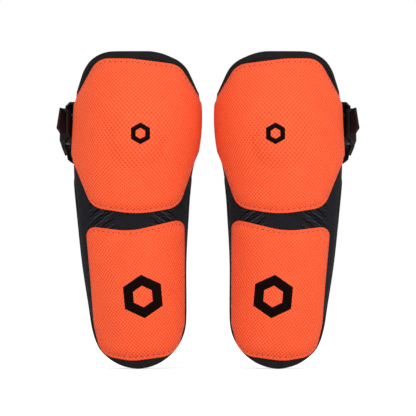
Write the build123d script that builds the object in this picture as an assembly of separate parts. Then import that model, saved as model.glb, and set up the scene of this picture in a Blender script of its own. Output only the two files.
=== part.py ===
from build123d import *
import math
import os
from functools import lru_cache

# A pair of moulded knee-and-shin pads.  Every piece is drawn once, for the pad of the right leg, about
# that leg's axis: +X is the inner side, -Y the front, +Z up, and Z 0 the lower tip of the pad.  The left
# pad is its mirror image.  Millimetres and degrees throughout.

# ---- driving dimensions -------------------------------------------------------------------------------
PAIR_SPACING = 156.0          # from one leg's axis to the other's
PAD_HEIGHT = 350.0
DRAWN_HEIGHT = 350.0          # the levels below are drawn for a pad of this height
STRETCH = PAD_HEIGHT / DRAWN_HEIGHT
KNEE_LEVEL = 262.0 * STRETCH  # middle of the kneecap
FLEX_LEVEL = 164.0 * STRETCH  # where the two sections bend
SHIN_LEVEL = 110.0 * STRETCH

# half widths (across), depths (leg axis to front) and sideways shifts of the outer fabric, level by level
TOE_HALF_WIDTH = 48.0
TOE_DEPTH = 47.0
TOE_SHIFT = 2.0
ANKLE_LEVEL = 50.0 * STRETCH
ANKLE_HALF_WIDTH = 51.0
ANKLE_DEPTH = 53.0
ANKLE_SHIFT = 1.8
SHIN_HALF_WIDTH = 55.5
SHIN_DEPTH = 59.0
SHIN_SHIFT = -2.6
WAIST_LEVEL = 170.0 * STRETCH
WAIST_HALF_WIDTH = 60.7
WAIST_DEPTH = 60.5
WAIST_SHIFT = -4.5
UNDER_KNEE_LEVEL = 215.0 * STRETCH
UNDER_KNEE_HALF_WIDTH = 64.5
UNDER_KNEE_DEPTH = 67.0
UNDER_KNEE_SHIFT = -4.7
KNEE_HALF_WIDTH = 66.4
KNEE_DEPTH = 73.0
KNEE_SHIFT = -0.3
BROW_LEVEL = 300.0 * STRETCH
BROW_HALF_WIDTH = 65.0
BROW_DEPTH = 69.5
BROW_SHIFT = 0.5
CROWN_HALF_WIDTH = 61.0
CROWN_DEPTH = 60.0
CROWN_SHIFT = -0.5
LOFT_OVERRUN = 25.0           # how far the form runs on past both tips before it is trimmed

# layers, from the leg outwards
LINING_THICKNESS = 2.0
FOAM_THICKNESS = 10.0
COVER_THICKNESS = 1.2
SHELL_THICKNESS = 3.0
PANEL_SKIN = 2.0
FLANGE_THICKNESS = 1.6        # sewn flat edge of each panel
FLANGE_WIDTH = 4.5
BINDING_THICKNESS = 0.8
BINDING_WIDTH = 7.0
FLEX_THICKNESS = 5.0
CUSHION_THICKNESS = 4.0
SOFT_CLEARANCE = 0.3          # between soft pieces of different bodies

# rim of the body
TOE_RADIUS = 52.0
TOE_CENTRE_X = 1.3
CROWN_LEFT = -50.4            # corners of the straight top edge
CROWN_RIGHT = 46.9
CROWN_CORNER_RADIUS = 25.0
SHOULDER_LEVEL = 275.0 * STRETCH
SHOULDER_LEFT = -76.3
SHOULDER_RIGHT = 81.0
RIM_FRONT = -20.0             # towards the toe and the crown the rim runs this far forward
TOE_RIM_LEVEL = 33.0 * STRETCH
CROWN_RIM_LEVEL = 322.0 * STRETCH
TOE_TIP_Y = -34.0             # and from there slopes on to the tips
CROWN_TIP_Y = -46.0
KNEE_WING_REAR = 28.0         # how far the wings reach behind the leg's axis
KNEE_WING_TOP = 296.0 * STRETCH
KNEE_WING_BOTTOM = 216.0 * STRETCH
SHIN_WING_REAR = 8.0
SHIN_WING_TOP = 158.0 * STRETCH
SHIN_WING_BOTTOM = 66.0 * STRETCH
NOTCH_REAR = -3.0             # the wings are cut back here, so that the pad can bend
NOTCH_TOP = 192.0 * STRETCH
NOTCH_BOTTOM = 172.0 * STRETCH
RIM_CORNER_RADIUS = 9.0

# bend between the two sections: a wedge that opens backwards from its apex
FLEX_APEX_Y = -75.0
FLEX_HINGE_Y = -56.0
FLEX_UP_ANGLE = 16.0
FLEX_DOWN_ANGLE = 12.0

# outlines of the two coloured panels seen from the front: across, up (as drawn), corner radius
KNEE_PANEL = [
    (-44, 342.5, 20), (-8, 342, 90), (47, 335, 20), (74, 290, 30), (70.5, 252, 30), (44, 178.5, 20),
    (0, 170, 120), (-48, 178, 20), (-74, 238, 30), (-73, 290, 30),
]
SHIN_PANEL = [
    (-57, 157.5, 9), (-8, 151.5, 90), (51.5, 165.5, 8), (51.7, 48, 30), (43, 14, 24),
    (-6, 7.5, 60), (-39.5, 13.5, 22), (-47.5, 47, 40), (-51, 95, 60),
]
KNEE_PANEL_REAR = -6.0        # the panels' side edges stay in front of these
SHIN_PANEL_REAR = -2.0

# kneecap dome
DOME_X = -1.5
DOME_LEVEL = 256.0 * STRETCH
DOME_HEIGHT = 5.5
DOME_SEMI_X = 36.7
DOME_SEMI_Y = 30.0
DOME_SEMI_Z = 46.5

# knee strap: an elastic loop in a plane that falls towards the back
STRAP_TILT = 28.0
STRAP_LEVEL = 270.0 * STRETCH
STRAP_WIDTH = 38.0
STRAP_THICKNESS = 2.0
STRAP_INNER_X = 71.3
STRAP_FRONT = -4.0
STRAP_STRAIGHT = 16.0
STRAP_TURN_RADIUS = 62.0
STRAP_TURN_ANGLE = 50.0
STRAP_BACK_RADIUS = 95.0
STRAP_BACK_ANGLE = 72.0
SEAM_GAP = 1.2                # between the elastic and its doubled end
STRAP_END_LENGTH = 15.0
ANCHOR_LENGTH = 16.0

# slider on the elastic
SLIDER_LENGTH = 24.0
SLIDER_BAR = 2.2
SLIDER_BAR_WIDTH = 5.0
SLIDER_CLEARANCE = 0.4
SLIDER_ANGLE = 88.0           # place on the strap's back arc

# buckle on the outer wing
PIN_X = -77.0
PIN_V = 4.0
PIN_RADIUS = 2.0
PIN_CLEARANCE = 0.1
BASE_HALF_HEIGHT = 23.7
BASE_FRONT = -6.0
BASE_REAR = 13.0
BASE_FACE_X = -72.0
EAR_THICKNESS = 3.2
EAR_RADIUS = 3.2
BASE_WALL_X = -78.0           # wall behind the pin, between the ears
BASE_WALL_THICKNESS = 2.0
RIVET_RADIUS = 1.8
RIVET_HEAD_RADIUS = 3.4
RIVET_HEAD_HEIGHT = 1.0
RIVET_LENGTH = 14.0
RIVET_SPACING = 30.0
RIVET_V = 9.5

HOOK_GAP = 0.5                # between the hook and the ears
HOOK_OUTER_X = -86.2
HOOK_THICKNESS = 3.6
HOOK_BAR_X = -80.0
HOOK_BAR_V = 30.0
HOOK_BAR_RADIUS = 1.6
HOOK_ARM = 2.2
HOOK_WINDOW_FRONT = 20.0
LIP_REACH = 2.6               # how far the lip passes the pin, towards the leg
TAB_HALF_WIDTH = 13.0
TAB_LENGTH = 12.0
TAB_THICKNESS = 2.2
TAB_FLARE = 3.3               # the tab's lower corner stands this much further out

# inner cushions: centre across, centre up, half width, half height
KNEE_CUSHION = (-1.0, KNEE_LEVEL, 28.0, 38.0)
SHIN_CUSHION = (-2.0, 86.0 * STRETCH, 20.0, 50.0)

# calf strap
CALF_LEVEL = 95.0 * STRETCH
CALF_STRAP_WIDTH = 25.0
CALF_STRAP_THICKNESS = 1.8
CALF_INNER_X = 36.0
CALF_STRAP_FRONT = -14.0
CALF_CORNER_RADIUS = 33.0
CALF_REAR = 66.0
CALF_PATCH_THICKNESS = 1.4
RING_X = -39.6
RING_FRONT = 13.5
RING_REAR = 22.5
RING_RADIUS = 1.6
TAB_WEB_THICKNESS = 1.3
FLAP_LENGTH_ANGLE = 80.0
FLAP_THICKNESS = 1.5
HOOK_PATCH_THICKNESS = 0.8

WIDE = 400.0                  # larger than the whole pad, for trimming bodies

# ---- worked out from the driving dimensions -----------------------------------------------------------
WALL = LINING_THICKNESS + FOAM_THICKNESS + COVER_THICKNESS
PANEL_HEIGHT = SHELL_THICKNESS + PANEL_SKIN
HOOK_HALF_WIDTH = STRAP_WIDTH / 2 + SOFT_CLEARANCE + HOOK_ARM
TILTED = Plane(
    origin=(0, 0, STRAP_LEVEL),
    x_dir=(1, 0, 0),
    z_dir=(0, math.sin(math.radians(STRAP_TILT)), math.cos(math.radians(STRAP_TILT))),
)
FORM_LEVELS = [
    (0, TOE_HALF_WIDTH, TOE_DEPTH, TOE_SHIFT),
    (ANKLE_LEVEL, ANKLE_HALF_WIDTH, ANKLE_DEPTH, ANKLE_SHIFT),
    (SHIN_LEVEL, SHIN_HALF_WIDTH, SHIN_DEPTH, SHIN_SHIFT),
    (WAIST_LEVEL, WAIST_HALF_WIDTH, WAIST_DEPTH, WAIST_SHIFT),
    (UNDER_KNEE_LEVEL, UNDER_KNEE_HALF_WIDTH, UNDER_KNEE_DEPTH, UNDER_KNEE_SHIFT),
    (KNEE_LEVEL, KNEE_HALF_WIDTH, KNEE_DEPTH, KNEE_SHIFT),
    (BROW_LEVEL, BROW_HALF_WIDTH, BROW_DEPTH, BROW_SHIFT),
    (PAD_HEIGHT, CROWN_HALF_WIDTH, CROWN_DEPTH, CROWN_SHIFT),
]


# ---- helpers ------------------------------------------------------------------------------------------
@lru_cache(maxsize=None)
def form(outward):
    """The body's outer surface as a solid, grown outward by so much (shrunk where negative)."""
    first, last = FORM_LEVELS[0], FORM_LEVELS[-1]
    levels = [(first[0] - LOFT_OVERRUN, *first[1:]), *FORM_LEVELS, (last[0] + LOFT_OVERRUN, *last[1:])]
    rings = [Pos(shift, 0, z) * Ellipse(half + outward, depth + outward) for z, half, depth, shift in levels]
    return loft(rings)


def layer(inner, outer):
    """The skin between two offsets of the body's outer surface."""
    return form(outer) - form(inner)


def through_front(face):
    """A face drawn in X and Z, pushed right through the pad from front to back."""
    return extrude(Plane.XZ * face, WIDE, both=True)


def through_side(face):
    """A face drawn in Y and Z, pushed right through the pad from side to side."""
    return extrude(Plane.YZ * face, WIDE, both=True)


def rounded(corners):
    """A closed outline from (across, up as drawn, corner radius) triples."""
    points = [(x, z * STRETCH) for x, z, _ in corners]
    return make_face(FilletPolyline(*points, radius=[r for _, _, r in corners], close=True))


def front_outline(inset):
    """The pad seen from the front; an inset draws its top edge, corners and toe in, and not its sides."""
    toe = Pos(TOE_CENTRE_X, TOE_RADIUS) * Ellipse(TOE_RADIUS, TOE_RADIUS - inset)
    crown = make_face(Polyline(
        (CROWN_LEFT + inset / 2, PAD_HEIGHT - inset), (CROWN_RIGHT - inset / 2, PAD_HEIGHT - inset),
        (SHOULDER_RIGHT, SHOULDER_LEVEL), (2 * SHOULDER_RIGHT, SHOULDER_LEVEL / 2),
        (2 * SHOULDER_RIGHT, TOE_RADIUS), (2 * SHOULDER_LEFT, TOE_RADIUS),
        (2 * SHOULDER_LEFT, SHOULDER_LEVEL / 2), (SHOULDER_LEFT, SHOULDER_LEVEL), close=True))
    return toe + fillet(crown.vertices().sort_by(Axis.Y)[-2:], CROWN_CORNER_RADIUS)


def side_outline():
    """The pad seen from the side: everything in front of its wings' rear rim."""
    rear = make_face(Polyline(
        (-WIDE, -LOFT_OVERRUN), (TOE_TIP_Y, -LOFT_OVERRUN), (TOE_TIP_Y, 0), (RIM_FRONT, TOE_RIM_LEVEL),
        (SHIN_WING_REAR, SHIN_WING_BOTTOM), (SHIN_WING_REAR, SHIN_WING_TOP),
        (NOTCH_REAR, NOTCH_BOTTOM), (NOTCH_REAR, NOTCH_TOP),
        (KNEE_WING_REAR, KNEE_WING_BOTTOM), (KNEE_WING_REAR, KNEE_WING_TOP),
        (RIM_FRONT, CROWN_RIM_LEVEL), (CROWN_TIP_Y, PAD_HEIGHT),
        (CROWN_TIP_Y, PAD_HEIGHT + LOFT_OVERRUN), (-WIDE, PAD_HEIGHT + LOFT_OVERRUN), close=True))
    wing_corners = [v for v in rear.vertices() if NOTCH_REAR - 1 <= v.X <= KNEE_WING_REAR + 1]
    return fillet(wing_corners, RIM_CORNER_RADIUS)


def body_trim(grow):
    """Everything inside the pad's rim, grown by so much."""
    front, side = front_outline(0), side_outline()
    if grow:
        front, side = offset(front, grow), offset(side, grow)
    return through_front(front) & through_side(side)


def inside_binding():
    """Everything further from the rim than the binding reaches."""
    return through_front(front_outline(BINDING_WIDTH)) & through_side(offset(side_outline(), -BINDING_WIDTH))


def above_bend(gap=0.0):
    """Space of the knee section, above the wedge where the pad bends."""
    return wedge_half(FLEX_UP_ANGLE, gap)


def below_bend(gap=0.0):
    """Space of the shin section, below the wedge where the pad bends."""
    return wedge_half(-FLEX_DOWN_ANGLE, -gap)


def wedge_half(angle, lift):
    """Half space whose face passes through the bend's apex and slopes by an angle towards the back."""
    up = 1 if angle > 0 else -1
    block = Pos(0, 0, up * WIDE / 2) * Box(2 * WIDE, 2 * WIDE, WIDE)
    return Pos(0, FLEX_APEX_Y, FLEX_LEVEL + lift) * Rot(X=angle) * block


def strap_box(u, v, w):
    """A box in the strap's plane, from (low, high) pairs across, back and up."""
    size = [high - low for low, high in (u, v, w)]
    middle = [(high + low) / 2 for low, high in (u, v, w)]
    return TILTED * Pos(*middle) * Box(*size)


def in_strap_plane(face, low, high):
    """A face drawn in the strap's plane, given a height along the plane's normal."""
    return TILTED * Pos(0, 0, low) * extrude(face, high - low)


def behind(y):
    """Half space behind a given Y."""
    return Pos(0, y + WIDE, 0) * Box(2 * WIDE, 2 * WIDE, 2 * WIDE)


def in_front(y):
    """Half space in front of a given Y."""
    return Pos(0, y - WIDE, 0) * Box(2 * WIDE, 2 * WIDE, 2 * WIDE)


def sector(centre, inner, outer, start, sweep_angle):
    """Part of a flat ring about a centre."""
    far = CenterArc(centre, outer, start, sweep_angle)
    near = CenterArc(centre, inner, start, sweep_angle)
    return make_face([far, near, Line(far @ 0, near @ 0), Line(far @ 1, near @ 1)])


# ---- body sections ------------------------------------------------------------------------------------
def panel_trim(corners, inset, rear):
    """Everything inside a panel's outline, less an inset."""
    face = rounded(corners)
    if inset:
        face = offset(face, -inset)
    return extrude(Plane.XZ * face, WIDE) & in_front(rear - inset)


def dome(inward):
    """The bump over the kneecap, shrunk by so much."""
    ball = scale(Sphere(1), by=(DOME_SEMI_X - inward, DOME_SEMI_Y - inward, DOME_SEMI_Z - inward))
    return Pos(DOME_X, DOME_SEMI_Y - KNEE_DEPTH - PANEL_HEIGHT - DOME_HEIGHT, DOME_LEVEL) * ball


def hard_shell(corners, rear, bump):
    """Moulded plate between the fabric cover and the coloured panel."""
    outer = form(SHELL_THICKNESS)
    if bump:
        outer = outer + dome(PANEL_SKIN)
    return (outer & panel_trim(corners, FLANGE_WIDTH + PANEL_SKIN, rear)) - form(0)


def coloured_panel(corners, rear, shell, bump):
    """Panel skin: a raised middle over the shell, with a flat sewn flange round it."""
    raised = form(PANEL_HEIGHT)
    if bump:
        raised = raised + dome(0)
    raised = raised & panel_trim(corners, FLANGE_WIDTH, rear)
    flange = form(FLANGE_THICKNESS) & panel_trim(corners, 0, rear)
    return (raised + flange) - form(0) - shell


def section_layers(space, wall):
    """Lining, foam and cover of one section, from the wall between the inner and outer surface."""
    lining_face = form(LINING_THICKNESS - WALL)
    foam_face = form(-COVER_THICKNESS)
    part = wall & space
    inside = part & foam_face
    return inside & lining_face, inside - lining_face, part - foam_face


def cushion(centre_x, centre_z, half_width, half_height):
    """Soft inner pad glued to the lining."""
    outline = through_front(Pos(centre_x, centre_z) * Ellipse(half_width, half_height))
    return layer(-WALL - CUSHION_THICKNESS, -WALL) & outline & in_front(0)


# ---- knee strap and its hardware ----------------------------------------------------------------------
def strap_path():
    """Runs of the elastic in its plane, from the inner wing to the hook's bar, and its back's centre."""
    straight = Line((STRAP_INNER_X, STRAP_FRONT), (STRAP_INNER_X, STRAP_FRONT + STRAP_STRAIGHT))
    turn = JernArc(straight @ 1, (0, 1), STRAP_TURN_RADIUS, STRAP_TURN_ANGLE)
    back = JernArc(turn @ 1, turn % 1, STRAP_BACK_RADIUS, STRAP_BACK_ANGLE)
    to_bar = TangentArc(back @ 1, (HOOK_BAR_X, HOOK_BAR_V), tangent=back % 1)
    doubled_from = 1 - STRAP_END_LENGTH / to_bar.length
    side = to_bar.trim(0, doubled_from - SEAM_GAP / to_bar.length)
    return [straight, turn, back, side], [to_bar.trim(doubled_from, 1)], back.arc_center


def knee_strap_pieces():
    """Elastic loop, its doubled end round the hook's bar, and the sewn root on the inner wing."""
    loop, end, _ = strap_path()
    half = STRAP_WIDTH / 2
    clear_of_panel = behind(KNEE_PANEL_REAR + SOFT_CLEARANCE)
    strap = in_strap_plane(trace(loop, STRAP_THICKNESS), -half, half) & clear_of_panel
    bar = Pos(HOOK_BAR_X, HOOK_BAR_V) * Circle(HOOK_BAR_RADIUS)
    eye = Pos(HOOK_BAR_X, HOOK_BAR_V) * Circle(HOOK_BAR_RADIUS + STRAP_THICKNESS) - bar
    doubled = in_strap_plane((trace(end, 2 * STRAP_THICKNESS) - bar) + eye, -half, half)
    sewn = (STRAP_FRONT, STRAP_FRONT + ANCHOR_LENGTH)
    root = strap_box((0, STRAP_INNER_X - STRAP_THICKNESS / 2), sewn, (-half, half))
    root = (root & clear_of_panel & in_front(KNEE_WING_REAR - BINDING_WIDTH)) - form(0)
    return strap, doubled, root


def slider():
    """Three-bar slide: two bars outside the elastic, one inside, joined past both its edges."""
    _, _, centre = strap_path()
    half_angle = math.degrees(SLIDER_LENGTH / 2 / STRAP_BACK_RADIUS)
    bar_angle = math.degrees(SLIDER_BAR_WIDTH / STRAP_BACK_RADIUS)
    start = SLIDER_ANGLE - half_angle
    near = STRAP_BACK_RADIUS - STRAP_THICKNESS / 2 - SLIDER_CLEARANCE
    far = STRAP_BACK_RADIUS + STRAP_THICKNESS / 2 + SLIDER_CLEARANCE
    edge = STRAP_WIDTH / 2 + SLIDER_CLEARANCE
    width = edge + SLIDER_BAR
    rail = sector(centre, near - SLIDER_BAR, far + SLIDER_BAR, start, 2 * half_angle)
    body = in_strap_plane(rail, edge, width) + in_strap_plane(rail, -width, -edge)
    for angle in (start, start + 2 * half_angle - bar_angle):
        body += in_strap_plane(sector(centre, far, far + SLIDER_BAR, angle, bar_angle), -width, width)
    middle = SLIDER_ANGLE - bar_angle / 2
    body += in_strap_plane(sector(centre, near - SLIDER_BAR, near, middle, bar_angle), -width, width)
    return body


def pin_circle(radius):
    """A circle round the buckle's pin."""
    return Pos(PIN_X, PIN_V) * Circle(radius)


def rivets():
    """Two rivets that hold the buckle's base: shank and head."""
    group = []
    for w in (-RIVET_SPACING / 2, RIVET_SPACING / 2):
        spot = TILTED * Pos(BASE_FACE_X, RIVET_V, w) * Rot(Y=90)
        shank = spot * Pos(0, 0, RIVET_LENGTH / 2) * Cylinder(RIVET_RADIUS, RIVET_LENGTH)
        head = spot * Pos(0, 0, -RIVET_HEAD_HEIGHT / 2) * Cylinder(RIVET_HEAD_RADIUS, RIVET_HEAD_HEIGHT)
        group.append(shank + head)
    return group


def buckle_base(fixings):
    """Moulded base on the outer wing: a plate that follows the fabric and two ears for the pin."""
    plate = strap_box((BASE_FACE_X, 0), (BASE_FRONT, BASE_REAR), (-BASE_HALF_HEIGHT, BASE_HALF_HEIGHT))
    plate = plate & behind(KNEE_PANEL_REAR + SOFT_CLEARANCE) & in_front(KNEE_WING_REAR - BINDING_WIDTH)
    plate = plate - form(0)
    ear = make_face(Polyline(
        (BASE_FACE_X, BASE_FRONT), (PIN_X + EAR_RADIUS / 2, BASE_FRONT), (PIN_X - EAR_RADIUS, PIN_V),
        (PIN_X, PIN_V + EAR_RADIUS), (BASE_FACE_X, BASE_REAR), close=True))
    ear = ear + pin_circle(EAR_RADIUS) - pin_circle(PIN_RADIUS)
    for low in (-BASE_HALF_HEIGHT, BASE_HALF_HEIGHT - EAR_THICKNESS):
        plate += in_strap_plane(ear, low, low + EAR_THICKNESS)
    wall = (BASE_REAR - BASE_WALL_THICKNESS, BASE_REAR)
    plate += strap_box((BASE_WALL_X, BASE_FACE_X), wall, (-BASE_HALF_HEIGHT, BASE_HALF_HEIGHT))
    for fixing in fixings:
        plate -= fixing
    return plate


def buckle_pin():
    """Pin through both ears, which the hook turns on."""
    return in_strap_plane(pin_circle(PIN_RADIUS), -BASE_HALF_HEIGHT, BASE_HALF_HEIGHT)


def hook_tab(flare, w):
    """Section of the thumb tab at one height: it leans outward in front of the pin."""
    root = PIN_V - PIN_RADIUS - PIN_CLEARANCE
    tip = root - TAB_LENGTH
    outer = HOOK_OUTER_X - flare
    face = make_face(Polyline(
        (HOOK_OUTER_X + 1, root), (outer, tip - TAB_THICKNESS), (outer + TAB_THICKNESS, tip - TAB_THICKNESS),
        (PIN_X - PIN_RADIUS / 2, root - TAB_THICKNESS), (PIN_X - PIN_RADIUS, root), close=True))
    return Pos(0, 0, w) * face


def buckle_hook():
    """Hook that swings on the pin: plate, lip in front of the pin, thumb tab, and a bar for the elastic."""
    lip = PIN_V - PIN_RADIUS - PIN_CLEARANCE
    pocket = PIN_V + PIN_RADIUS + PIN_CLEARANCE
    inner = HOOK_OUTER_X + HOOK_THICKNESS
    section = make_face(Polyline(
        (HOOK_BAR_X - HOOK_BAR_RADIUS, HOOK_BAR_V), (HOOK_OUTER_X, PIN_V),
        (HOOK_OUTER_X + 1, lip - HOOK_THICKNESS),
        (PIN_X, lip - HOOK_THICKNESS), (PIN_X + LIP_REACH, lip - HOOK_THICKNESS / 2),
        (PIN_X + LIP_REACH, lip),
        (PIN_X, lip), (PIN_X, pocket), (inner, pocket + HOOK_THICKNESS),
        (HOOK_BAR_X + HOOK_BAR_RADIUS, HOOK_BAR_V - HOOK_BAR_RADIUS), close=True))
    section = section - pin_circle(PIN_RADIUS + PIN_CLEARANCE)
    neck = BASE_HALF_HEIGHT - EAR_THICKNESS - HOOK_GAP
    swing = HOOK_BAR_V - PIN_V
    outline = make_face(Polyline(
        (lip - HOOK_THICKNESS, -TAB_HALF_WIDTH), (lip, -neck), (PIN_V + swing / 3, -neck),
        (PIN_V + swing / 2, -HOOK_HALF_WIDTH), (HOOK_BAR_V + HOOK_BAR_RADIUS, -HOOK_HALF_WIDTH),
        (HOOK_BAR_V + HOOK_BAR_RADIUS, HOOK_HALF_WIDTH), (PIN_V + swing / 2, HOOK_HALF_WIDTH),
        (PIN_V + swing / 3, neck), (lip, neck), (lip - HOOK_THICKNESS, TAB_HALF_WIDTH), close=True))
    side_view = TILTED * extrude(Plane.YZ * outline, WIDE, both=True)
    body = in_strap_plane(section, -HOOK_HALF_WIDTH, HOOK_HALF_WIDTH) & side_view
    slot = STRAP_WIDTH / 2 + SOFT_CLEARANCE
    body -= strap_box((HOOK_OUTER_X, BASE_FACE_X), (HOOK_WINDOW_FRONT, WIDE), (-slot, slot))
    body += TILTED * loft([hook_tab(TAB_FLARE, -TAB_HALF_WIDTH), hook_tab(0, TAB_HALF_WIDTH)], ruled=True)
    bar = Pos(HOOK_BAR_X, HOOK_BAR_V) * Circle(HOOK_BAR_RADIUS)
    return body + in_strap_plane(bar, -HOOK_HALF_WIDTH, HOOK_HALF_WIDTH)


# ---- calf strap and its hardware ----------------------------------------------------------------------
def at_calf(face, height):
    """A flat face given a height, centred on the calf strap's level."""
    return Pos(0, 0, CALF_LEVEL - height / 2) * extrude(face, height)


def calf_pieces():
    """Strap from the inner wing round the calf to the ring, and the two sewn pieces on the lining."""
    strap_x = RING_X + RING_RADIUS + CALF_STRAP_THICKNESS / 2
    path = FilletPolyline(
        (CALF_INNER_X, CALF_STRAP_FRONT), (CALF_INNER_X, CALF_REAR), (strap_x, CALF_REAR),
        (strap_x, RING_REAR), radius=CALF_CORNER_RADIUS)
    strap = at_calf(trace(path, CALF_STRAP_THICKNESS), CALF_STRAP_WIDTH)
    rim_front = SHIN_WING_REAR - BINDING_WIDTH - SOFT_CLEARANCE
    patch_length = rim_front - CALF_STRAP_FRONT
    patch_middle = (rim_front + CALF_STRAP_FRONT) / 2
    patch_inside = CALF_INNER_X + CALF_STRAP_THICKNESS / 2
    patch = Pos(patch_inside + KNEE_HALF_WIDTH / 2, patch_middle) * Rectangle(KNEE_HALF_WIDTH, patch_length)
    anchor = at_calf(patch, CALF_STRAP_WIDTH) & form(-WALL)
    web = 2 * TAB_WEB_THICKNESS
    tail = trace(Line((RING_X, CALF_STRAP_FRONT), (RING_X, RING_FRONT)), web)
    eye = Pos(RING_X, RING_FRONT) * Circle(RING_RADIUS + TAB_WEB_THICKNESS)
    bar = Pos(RING_X, RING_FRONT) * Circle(RING_RADIUS)
    tab = at_calf((tail + eye) - bar, CALF_STRAP_WIDTH) & form(-WALL - BINDING_THICKNESS)
    return strap, anchor, tab


def calf_ring():
    """Rectangular wire ring that the calf strap turns back on."""
    half = CALF_STRAP_WIDTH / 2 + 2 * RING_RADIUS
    corners = [
        (RING_X, RING_FRONT, CALF_LEVEL - half), (RING_X, RING_REAR, CALF_LEVEL - half),
        (RING_X, RING_REAR, CALF_LEVEL + half), (RING_X, RING_FRONT, CALF_LEVEL + half),
    ]
    wire = FilletPolyline(*corners, radius=2 * RING_RADIUS, close=True)
    section = Plane(origin=wire @ 0, z_dir=wire % 0) * Circle(RING_RADIUS)
    return sweep(section, path=wire)


def calf_flap():
    """Free end of the calf strap, folded back outside it, and its patch of small hooks."""
    strap_x = RING_X + RING_RADIUS + CALF_STRAP_THICKNESS / 2
    centre = Vector(strap_x + CALF_CORNER_RADIUS, CALF_REAR - CALF_CORNER_RADIUS)
    patch_inner = CALF_CORNER_RADIUS + CALF_STRAP_THICKNESS / 2 + SOFT_CLEARANCE
    radius = patch_inner + HOOK_PATCH_THICKNESS + FLAP_THICKNESS / 2
    bar = Vector(RING_X, RING_REAR)
    start = bar - Vector(RING_RADIUS + SOFT_CLEARANCE + FLAP_THICKNESS / 2, 0)
    to_start = start - centre
    bearing = math.degrees(math.atan2(to_start.Y, to_start.X)) % 360
    touch = bearing - math.degrees(math.acos(radius / to_start.length))
    follow = CenterArc(centre, radius, touch, -FLAP_LENGTH_ANGLE)
    near = RING_RADIUS + SOFT_CLEARANCE
    wrap = sector(bar, near, near + FLAP_THICKNESS, 180, 90)
    area = trace([Line(start, follow @ 0), follow], FLAP_THICKNESS) + wrap
    flap = at_calf(area, CALF_STRAP_WIDTH)
    patch = sector(centre, patch_inner, patch_inner + HOOK_PATCH_THICKNESS, touch, -FLAP_LENGTH_ANGLE)
    return flap, at_calf(patch, CALF_STRAP_WIDTH - 2 * CALF_STRAP_THICKNESS)


# ---- the whole pad ------------------------------------------------------------------------------------
def body_pieces():
    """Soft body of both sections, with its rim binding and the bending band between them."""
    wall = layer(-WALL, 0) & body_trim(0)
    rim = layer(-WALL - BINDING_THICKNESS, BINDING_THICKNESS)
    rim = rim & body_trim(BINDING_THICKNESS)
    rim = (rim - inside_binding()) - wall
    for corners, rear in ((KNEE_PANEL, KNEE_PANEL_REAR), (SHIN_PANEL, SHIN_PANEL_REAR)):
        rim = rim - (panel_trim(corners, 0, rear) - form(-WALL / 2))
    pieces = {}
    for name, space in (("knee", above_bend()), ("shin", below_bend())):
        lining, foam, cover = section_layers(space, wall)
        pieces[f"{name}_lining"] = lining
        pieces[f"{name}_foam"] = foam
        pieces[f"{name}_cover"] = cover
        pieces[f"{name}_binding"] = rim & space
    band = layer(-FLEX_THICKNESS, 0) & body_trim(0)
    pieces["flex_band"] = band - below_bend() - above_bend(-SOFT_CLEARANCE)
    return pieces


def pad_pieces():
    """Every piece of the right pad, by name."""
    pieces = body_pieces()
    for name, corners, rear in (("knee", KNEE_PANEL, KNEE_PANEL_REAR), ("shin", SHIN_PANEL, SHIN_PANEL_REAR)):
        bump = name == "knee"
        shell = hard_shell(corners, rear, bump)
        panel = coloured_panel(corners, rear, shell, bump)
        pieces[f"{name}_shell"] = shell
        pieces[f"{name}_panel"] = panel
    pieces["knee_cushion"] = cushion(*KNEE_CUSHION)
    pieces["shin_cushion"] = cushion(*SHIN_CUSHION)
    fixings = rivets()
    pieces["buckle_base"] = buckle_base(fixings)
    for name in ("knee_cover", "knee_foam"):
        for fixing in fixings:
            pieces[name] -= fixing
    pieces["base_rivets"] = fixings
    pieces["buckle_pin"] = buckle_pin()
    pieces["buckle_hook"] = buckle_hook()
    pieces["knee_strap"], pieces["strap_end"], pieces["strap_root"] = knee_strap_pieces()
    pieces["strap_slider"] = slider()
    pieces["calf_strap"], pieces["calf_root"], pieces["ring_tab"] = calf_pieces()
    pieces["calf_ring"] = calf_ring()
    pieces["calf_flap"], pieces["flap_hooks"] = calf_flap()
    return pieces


def solids_of(piece):
    """A piece's solids, whether it is one shape or a list of them."""
    if isinstance(piece, list):
        return [solid for item in piece for solid in item.solids()]
    return list(piece.solids())


os.makedirs("parts", exist_ok=True)
for name, piece in pad_pieces().items():
    drawn = Compound(solids_of(piece))
    right = Pos(-PAIR_SPACING / 2, 0, 0) * drawn
    export_step(right, f"parts/right_{name}.step")
    export_step(mirror(right, Plane.YZ), f"parts/left_{name}.step")
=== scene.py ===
import math

import bpy
import numpy as np
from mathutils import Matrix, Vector
from mathutils.geometry import delaunay_2d_cdt


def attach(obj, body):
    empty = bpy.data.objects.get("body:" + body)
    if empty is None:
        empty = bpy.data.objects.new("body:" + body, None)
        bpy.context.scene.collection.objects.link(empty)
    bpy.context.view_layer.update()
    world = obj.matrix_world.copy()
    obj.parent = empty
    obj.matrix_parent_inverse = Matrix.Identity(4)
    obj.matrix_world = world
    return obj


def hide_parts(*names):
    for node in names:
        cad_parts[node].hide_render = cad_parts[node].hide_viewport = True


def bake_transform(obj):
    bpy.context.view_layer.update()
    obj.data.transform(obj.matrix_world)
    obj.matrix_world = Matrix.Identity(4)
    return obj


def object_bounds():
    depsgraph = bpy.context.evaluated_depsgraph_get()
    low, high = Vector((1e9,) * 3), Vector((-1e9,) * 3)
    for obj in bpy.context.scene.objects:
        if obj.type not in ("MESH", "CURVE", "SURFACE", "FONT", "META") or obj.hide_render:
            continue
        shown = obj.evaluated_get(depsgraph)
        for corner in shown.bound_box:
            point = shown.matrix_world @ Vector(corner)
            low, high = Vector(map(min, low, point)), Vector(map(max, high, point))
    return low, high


# A pair of moulded knee-and-shin pads. Shapes are worked out in millimetres for the right pad, about its
# own leg axis (+X inner side, -Y front, +Z up), and then placed as the right pad and its mirror image.

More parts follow.
